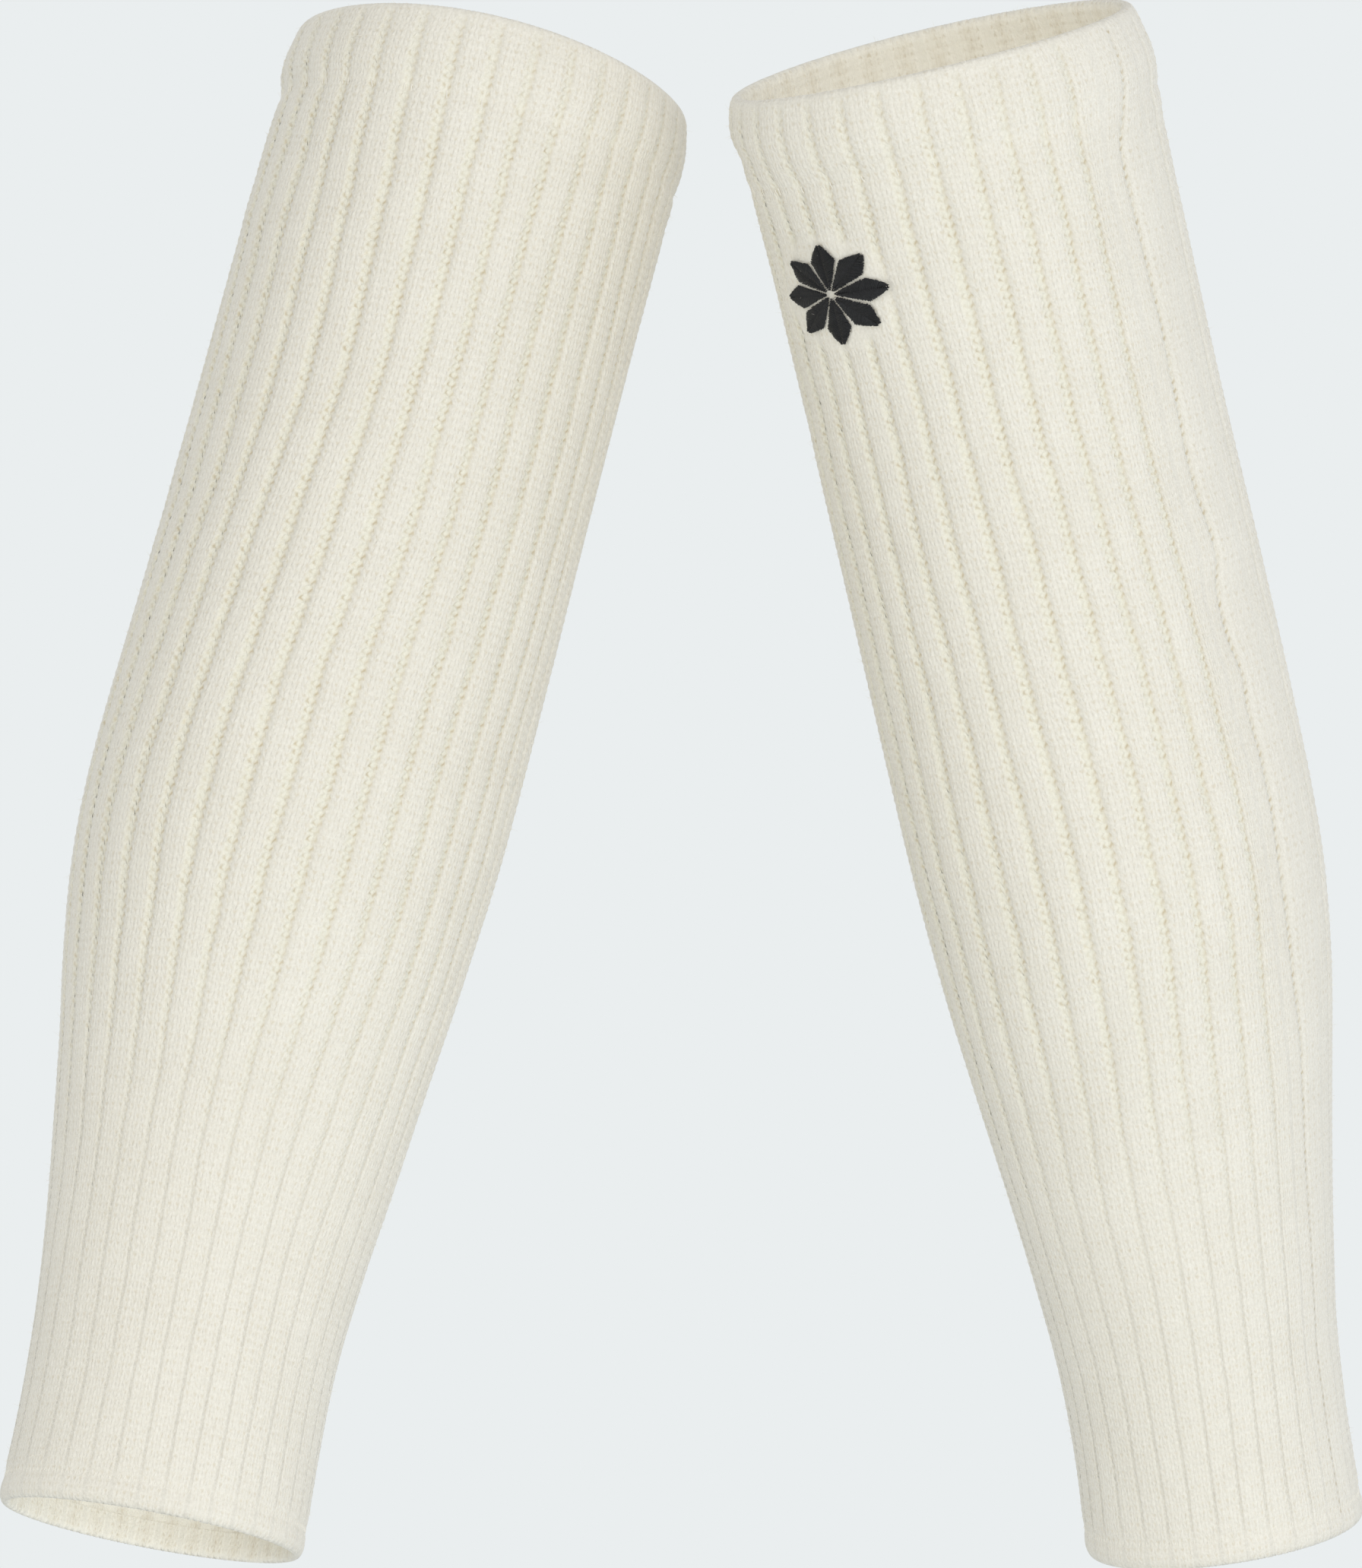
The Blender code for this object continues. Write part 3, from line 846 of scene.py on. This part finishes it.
def fuzz_tree():
    """Fuzz: thin hairs scattered over the cloth's outside, leaning every way."""
    tree, node, sockets = new_tree(
        "fuzz", "Hairs to a square metre", "Hair radius", "Shortest hair", "Longest hair"
    )
    given = node("NodeGroupInput")
    inside = node("GeometryNodeInputNamedAttribute", Name="inside")
    outside = node("ShaderNodeMath", {"operation": "LESS_THAN"}, Value=inside.outputs["Attribute"])
    scattered = node("GeometryNodeDistributePointsOnFaces", Mesh=given.outputs["Geometry"],
                     Selection=outside.outputs[0], Seed=7,
                     Density=given.outputs["Hairs to a square metre"])
    hair = node("GeometryNodeMeshCone", Vertices=3, Side_Segments=1, Fill_Segments=1,
                Radius_Top=0.0, Radius_Bottom=given.outputs["Hair radius"], Depth=1.0)
    lean = node("FunctionNodeRandomValue", {"data_type": "FLOAT_VECTOR"}, Seed=3)
    feed(tree, lean, {0: [-turn for turn in HAIR_TURNS], 1: HAIR_TURNS})
    lean = node("FunctionNodeEulerToRotation", Euler=lean.outputs[0])
    leaning = node("FunctionNodeRotateRotation", {"rotation_space": "LOCAL"},
                   Rotation=scattered.outputs["Rotation"], Rotate_By=lean.outputs[0])
    length = node("FunctionNodeRandomValue", Seed=11)
    feed(tree, length, {2: given.outputs["Shortest hair"], 3: given.outputs["Longest hair"]})
    size = node("ShaderNodeCombineXYZ", X=1.0, Y=1.0, Z=length.outputs[1])
    placed = node("GeometryNodeInstanceOnPoints", Points=scattered.outputs["Points"],
                  Instance=hair.outputs["Mesh"], Rotation=leaning.outputs[0],
                  Scale=size.outputs[0])
    finish_tree(node, given, placed)
    return tree, sockets


def grown(name, mesh, tree, sockets, sizes):
    """A piece that a tree makes from a mesh, turned into a plain mesh."""
    piece = in_scene(name, mesh)
    modifier = piece.modifiers.new(name, "NODES")
    modifier.node_group = tree
    for socket, value in zip(sockets, sizes):
        modifier[socket] = value
    graph = bpy.context.evaluated_depsgraph_get()
    made = bpy.data.meshes.new_from_object(piece.evaluated_get(graph))
    piece.modifiers.remove(modifier)
    piece.data = made
    made.name = name
    return piece


def sew(warmer, line, name, chart, at, broader, radius, rise, material):
    """Stitches drawn on a flat chart (across, up, out, length, heading), wrapped on to the leg."""
    mesh = bpy.data.meshes.new(name)
    mesh.from_pydata(chart[:, :3].tolist(), [], [])
    add_numbers(mesh, "length", chart[:, 3])
    add_numbers(mesh, "heading", chart[:, 4])
    piece = grown(name, mesh, *STITCHES, (radius, rise, material))
    flat = np.empty(3 * len(piece.data.vertices), np.float32)
    piece.data.vertices.foreach_get("co", flat)
    across, up, out = flat.reshape(-1, 3).astype(float).T
    turn = at[0] + across * broader / CHART_RADIUS
    points = on_leg(warmer, line, at[1] - up, turn, out)
    piece.data.vertices.foreach_set("co", (points * MM).astype(np.float32).ravel())
    piece.data.shade_smooth()
    piece.data.update()
    return piece


def star_chart():
    """An eight-petalled star in satin stitch, each petal sewn from its vein out to its edges."""
    lift, vein, slant, wander = 0.28, 0.12, 0.5, 0.06
    short_of_tip, narrowest, roundness = 0.3, 0.1, 0.8
    rng = np.random.default_rng(21)
    rows = []
    for petal in range(STAR_PETALS):
        way = math.tau * petal / STAR_PETALS
        for reach in np.arange(STAR_INNER, STAR_OUTER - short_of_tip, THREAD_GAP):
            share = (reach - STAR_INNER) / (STAR_OUTER - STAR_INNER)
            half = PETAL_HALF_WIDTH * (2 * min(share, 1 - share)) ** roundness + narrowest
            for hand in (-1, 1):
                end = np.array((reach + slant * half, hand * half))
                end = end + wander * rng.standard_normal(2)
                start = np.array((reach, hand * vein))
                middle, step = (start + end) / 2, end - start
                heading = math.atan2(step[1], step[0]) + way
                spot = (
                    middle[0] * math.cos(way) - middle[1] * math.sin(way),
                    middle[0] * math.sin(way) + middle[1] * math.cos(way),
                )
                rows.append((*spot, lift, np.hypot(*step), heading))
    return np.array(rows)


def linking_chart(seam):
    """The linking stitches round a seam, one to a wale."""
    shortest, spread, wander, uneven, tilt = 1.7, 0.4, 0.25, 0.3, 0.3
    rng = np.random.default_rng(int(seam.down))
    count = WALES_A_RIB * RIBS
    across = np.arange(count) + uneven * rng.random(count)
    across = across * math.tau * CHART_RADIUS / count
    up = wander * (rng.random(count) - 0.5)
    length = shortest + spread * rng.random(count)
    heading = math.radians(90 + seam.slant) + tilt * (rng.random(count) - 0.5)
    return np.stack((across, up, np.full(count, seam.out), length, heading), axis=-1)


class Finish:
    """A new material, and makers of the nodes that feed its shader."""

    def __init__(self, name, **values):
        self.material = bpy.data.materials.new(name)
        self.material.use_nodes = True
        self.tree = self.material.node_tree
        self.node = partial(new_node, self.tree)
        self.set(**values)

    def set(self, **values):
        """Set the shader's inputs, or link other nodes' values into them."""
        feed(self.tree, self.tree.nodes["Principled BSDF"], values)

    def maths(self, operation, *values):
        made = self.node("ShaderNodeMath", {"operation": operation})
        feed(self.tree, made, dict(enumerate(values)))
        return made.outputs[0]

    def plus(self, *values):
        return reduce(partial(self.maths, "ADD"), values)

    def times(self, *values):
        return reduce(partial(self.maths, "MULTIPLY"), values)

    def scaled(self, value, scale, base):
        return self.maths("MULTIPLY_ADD", value, scale, base)

    def less(self, value):
        return self.maths("SUBTRACT", 1.0, value)

    def apart(self, value, other):
        return self.maths("ABSOLUTE", self.maths("SUBTRACT", value, other))

    def wave(self, phase):
        """From 1 down to 0 and back, once in each whole number."""
        return self.scaled(self.maths("COSINE", self.times(phase, math.tau)), 0.5, 0.5)

    def fade(self, value, low, high):
        """Softly from 0 to 1 between the low and the high value."""
        made = self.node("ShaderNodeMapRange", {"interpolation_type": "SMOOTHSTEP"},
                         Value=value, From_Min=low, From_Max=high)
        return made.outputs["Result"]

    def marked(self, across, mark):
        return self.less(self.fade(self.apart(across, mark.at), mark.fades, mark.ends))

    def blend(self, share, first, second):
        made = self.node("ShaderNodeMix", {"data_type": "RGBA"})
        feed(self.tree, made, {0: share, 6: first, 7: second})
        return made.outputs[2]

    def noise(self, vector, scale, detail, output="Fac"):
        made = self.node("ShaderNodeTexNoise", Vector=vector, Scale=scale, Detail=detail)
        return made.outputs[output]

    def split(self, vector):
        return self.node("ShaderNodeSeparateXYZ", Vector=vector).outputs

    def vector(self, x, y):
        return self.node("ShaderNodeCombineXYZ", X=x, Y=y).outputs[0]

    def bump(self, height, strength, depth):
        made = self.node("ShaderNodeBump", Height=height, Strength=strength, Distance=depth)
        self.set(Normal=made.outputs["Normal"])


def wool(name):
    """Cream wool, with each stitch's yarn and its fibres, painted shade between the stitches, and
    painted light on its sunk loops and its inside.
    """
    of = Finish(name, Roughness=0.95, Specular_IOR_Level=0.2, Sheen_Weight=0.25)
    plain, joined, sunk, inside = (
        of.node("ShaderNodeAttribute", {"attribute_name": title}).outputs["Fac"]
        for title in ("plain", "joined", "sunk", "inside")
    )
    coordinates = of.node("ShaderNodeTexCoord").outputs["Object"]

    # The place in the knitting wanders a little, as hand and wash leave no stitch like the next
    knitting = of.split(of.node("ShaderNodeUVMap", {"uv_map": "knitting"}).outputs["UV"])
    wander = of.split(of.noise(coordinates, WANDERING, 2.0, "Color"))
    wale = of.plus(knitting["X"], of.scaled(wander["X"], 2 * WALE_WANDER, -WALE_WANDER))
    course = of.plus(knitting["Y"], of.scaled(wander["Y"], 2 * COURSE_WANDER, -COURSE_WANDER))

    # How far from the middle of its wale a point is, and where it is beside its groove
    in_wale = of.maths("FRACT", wale)
    aside = of.apart(in_wale, 0.5)
    in_rib = of.times(of.maths("FRACT", of.maths("DIVIDE", wale, WALES_A_RIB)), WALES_A_RIB)
    past_middle = of.maths("GREATER_THAN", in_rib, WALES_A_RIB / 2)
    beside = of.maths("SUBTRACT", in_rib, of.times(past_middle, WALES_A_RIB))
    knit = of.maths("MAXIMUM", of.fade(of.maths("ABSOLUTE", beside), *PURL_EDGE), plain)

    # A knit stitch's two legs meet in a V, and a purl stitch's loop lies across its wale
    legs = of.wave(of.plus(course, of.maths("SUBTRACT", aside, 0.25)))
    leg_round = of.maths("MAXIMUM", of.maths("SINE", of.times(aside, math.tau)), 0.0)
    knit_rise = of.times(of.maths("POWER", leg_round, 0.6), of.scaled(legs, 0.7, 0.3))
    loops = of.wave(of.plus(course, of.scaled(aside, -0.6, 0.45)))
    stitch_rise = of.plus(of.times(knit, knit_rise), of.times(of.less(knit), loops))

    # Where the ribs lie flat, the stitches are drawn smoother, most of all in the narrow grooves
    in_furrow = of.times(of.marked(beside, FURROW), of.less(sunk))
    calm = of.times(of.less(of.times(in_furrow, 0.8)), of.scaled(sunk, 0.3, 0.7))
    stitch_rise = of.times(stitch_rise, calm, of.less(of.times(plain, 0.35)))

    # Fibres lie along the yarn, and fuzz lies over it in two sizes
    fluff, nap = of.noise(coordinates, FLUFF, 3.0), of.noise(coordinates, NAP, 3.0)
    along_yarn = of.vector(of.times(wale, 7.0), of.times(of.plus(course, aside), 2.6))
    fibres = of.noise(along_yarn, 1.0, 2.0)
    parts = ((stitch_rise, 0.8), (fibres, 0.6), (fluff, 0.9), (nap, 0.7))
    of.bump(of.plus(*(of.times(*part) for part in parts)), strength=0.75, depth=0.28 * MM)

    # Every stitch has its own luck
    stitch = of.vector(*(of.maths("FLOOR", of.plus(count, 0.5)) for count in (wale, course)))
    luck = of.node("ShaderNodeTexWhiteNoise", {"noise_dimensions": "2D"}, Vector=stitch)
    luck = luck.outputs["Value"]

    # Painted shade in the gap of each V and in the streaks between the wales' legs, which the nap
    # half hides
    bare = of.fade(nap, 0.36, 0.62)
    v_gap_shade = of.times(
        of.maths("POWER", of.less(legs), 2.0),
        of.marked(in_wale, STITCH_V_SHADE),
        of.scaled(luck, 1.0, 0.1),
        of.scaled(of.less(sunk), 0.14, 0.42),
    )
    from_leg = of.maths("MINIMUM", aside, of.maths("SUBTRACT", 0.5, aside))
    streak_shade = of.times(of.less(of.fade(from_leg, 0.0, 0.13)), of.scaled(bare, 0.11, 0.03))
    rib_shade = of.times(of.maths("MAXIMUM", v_gap_shade, streak_shade), knit, calm)

    # The groove's painted shade: a shaded line with a small shaded hole at each course on its
    # right, and on its left a second row of shaded holes, half a course off, so that the loops
    # between them zigzag
    chances = of.scaled(luck, 1.0, 0.2)
    between = of.wave(of.plus(course, of.scaled(beside, -0.5, -0.05)))
    hole_shade, left_hole_shade = (
        of.times(of.maths("POWER", of.less(wave), 2.0), chances) for wave in (loops, between)
    )
    right_side_shade = of.times(of.marked(beside, RIGHT_HOLE_SHADE), of.scaled(hole_shade, 0.62, 0.22))
    left_side_shade = of.times(of.marked(beside, LEFT_HOLE_SHADE), left_hole_shade, of.scaled(bare, 0.35, 0.36))
    groove_shade = of.times(of.plus(right_side_shade, left_side_shade), of.less(plain), of.scaled(sunk, 0.6, 0.4))
    # Painted shade in the holes along the join
    join_shade = of.times(of.fade(joined, 0.3, 0.9), hole_shade, 0.75)
    # Painted shade in the hollows between the ribs' backs, on the inside
    back_shade = of.times(of.marked(in_rib, RIB_BACK_SHADE), inside, of.scaled(bare, 0.13, 0.08))
    painted_shade = of.maths("MINIMUM", of.plus(rib_shade, groove_shade, join_shade, back_shade), 1.0)

    # The loops sunk in the grooves are painted yellower and lighter, a painted light that lifts
    # the groove's shade
    blotches = of.noise(coordinates, BLOTCHES, 4.0)
    tone = of.plus(of.times(blotches, 0.5), of.scaled(fluff, 1.5, -0.5))
    painted_bead_light = of.times(of.marked(beside, BEAD_LIGHT), sunk)
    cream = of.blend(tone, WOOL_DARK, WOOL_LIGHT)
    cream = of.blend(of.times(painted_bead_light, 0.55), cream, WOOL_BEAD_LIGHT)
    # The inside is painted paler, as painted light for what comes through the thin cloth
    cream = of.blend(of.times(inside, 0.9), cream, WOOL_INSIDE_LIGHT)
    # The painted shade darkens the cream towards the gaps' colour
    of.set(Base_Color=of.blend(painted_shade, cream, WOOL_GAP_SHADE))
    return of.material


def thread(name, colours, **values):
    """Twisted thread, darker between its plies."""
    of = Finish(name, **values)
    coordinates = of.node("ShaderNodeTexCoord").outputs["Object"]
    plies, batches = of.noise(coordinates, PLIES, 2.0), of.noise(coordinates, BATCHES, 2.0)
    share = of.fade(of.plus(of.times(plies, 0.7), of.times(batches, 0.3)), 0.3, 0.7)
    of.set(Base_Color=of.blend(share, *colours))
    of.bump(plies, strength=0.5, depth=0.12 * MM)
    return of.material


def set_camera():
    camera = bpy.data.cameras.new("camera")
    camera.sensor_fit = "VERTICAL"
    camera.sensor_height = CAMERA_SENSOR
    camera.lens = CAMERA_LENS
    camera.clip_end = 50.0
    holder = in_scene("camera", camera)
    holder.location = CAMERA_AT
    holder.rotation_euler = (math.pi / 2, 0.0, 0.0)
    bpy.context.scene.camera = holder


def set_paper():
    """The paper that the camera sees all round, the light that comes from it, and its floor."""
    world = bpy.data.worlds.new("studio")
    world.use_nodes = True
    tree = world.node_tree
    seen = tree.nodes["Background"]
    feed(tree, seen, {"Color": PAPER_COLOUR})
    around = new_node(tree, "ShaderNodeBackground", Color=AMBIENT_COLOUR, Strength=AMBIENT)
    by_camera = new_node(tree, "ShaderNodeLightPath").outputs["Is Camera Ray"]
    choice = new_node(tree, "ShaderNodeMixShader")
    feed(tree, choice, {0: by_camera, 1: around.outputs[0], 2: seen.outputs[0]})
    feed(tree, tree.nodes["World Output"], {"Surface": choice.outputs[0]})
    bpy.context.scene.world = world

    corners = [
        (x * FLOOR_HALF_SIZE, y * FLOOR_HALF_SIZE, -FLOOR_DOWN)
        for x, y in ((-1, -1), (1, -1), (1, 1), (-1, 1))
    ]
    mesh = bpy.data.meshes.new("floor")
    mesh.from_pydata(corners, [], [(0, 1, 2, 3)])
    mesh.materials.append(Finish("pale_paper", Base_Color=PAPER_COLOUR, Roughness=0.9).material)
    in_scene("floor", mesh)


def set_lamps():
    for name, at, size, power, colour, shadow in LAMPS:
        light = bpy.data.lights.new(name, "AREA")
        light.shape = "DISK"
        light.size = size
        light.energy = power
        light.color = colour
        light.use_shadow = shadow
        lamp = in_scene(name, light)
        lamp.location = at
        lamp.visible_camera = False
        aim = np.array(LAMPS_AIM) - np.array(at)
        from_above = math.acos(-aim[2] / np.linalg.norm(aim))
        lamp.rotation_euler = (from_above, 0.0, math.atan2(aim[0], -aim[1]) + math.pi)


STITCHES = stitch_tree()
FUZZ = fuzz_tree()
cream_wool = wool("cream_wool")
linking_thread = thread(
    "linking_thread", LINKING_COLOURS, Roughness=0.95, Specular_IOR_Level=0.2, Sheen_Weight=0.25,
)
black_thread = thread(
    "black_thread", BLACK_COLOURS, Roughness=0.55, Specular_IOR_Level=0.35,
)


def finish_knit(piece, node):
    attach(piece, "root")
    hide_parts(node)


def add_fuzz(piece):
    shortest, longest = HAIR_LENGTHS
    sizes = (HAIRS, HAIR_RADIUS * MM, shortest * MM, longest * MM, linking_thread)
    fuzz = grown(piece.name + "_fuzz", piece.data.copy(), *FUZZ, sizes)
    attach(fuzz, "root")


for warmer in WARMERS:
    name, line = warmer.name, centreline(warmer)
    knitted = []
    for part, (first_rib, ribs) in PANELS.items():
        panel = leg_panel(warmer, line, f"{name}_leg_{part}", first_rib, ribs, cream_wool)
        knitted.append((panel, part, "leg_tube"))
    for part, node in (("band", "top_band"), ("hem", "bottom_hem")):
        edge = turned_edge(warmer, line, f"{name}_{part}_knit", part, cream_wool)
        knitted.append((edge, part, node))
    for piece, part, node in knitted:
        finish_knit(piece, f"{name}_{node}")
        if part != "hem":
            add_fuzz(piece)
    for seam in SEAMS:
        links = sew(warmer, line, f"{name}_{seam.part}_linking", linking_chart(seam),
                    (0.0, seam.down), 1.0, LINK_RADIUS, LINK_RISE, linking_thread)
        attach(links, "root")
    if name == STAR_ON:
        star = sew(warmer, line, f"{name}_star", star_chart(),
                   (STAR_TURN, STAR_DOWN), STAR_BROADER, THREAD_RADIUS, THREAD_RISE, black_thread)
        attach(star, "root")

bpy.context.scene.view_settings.view_transform = "Standard"
set_camera()
set_paper()
set_lamps()
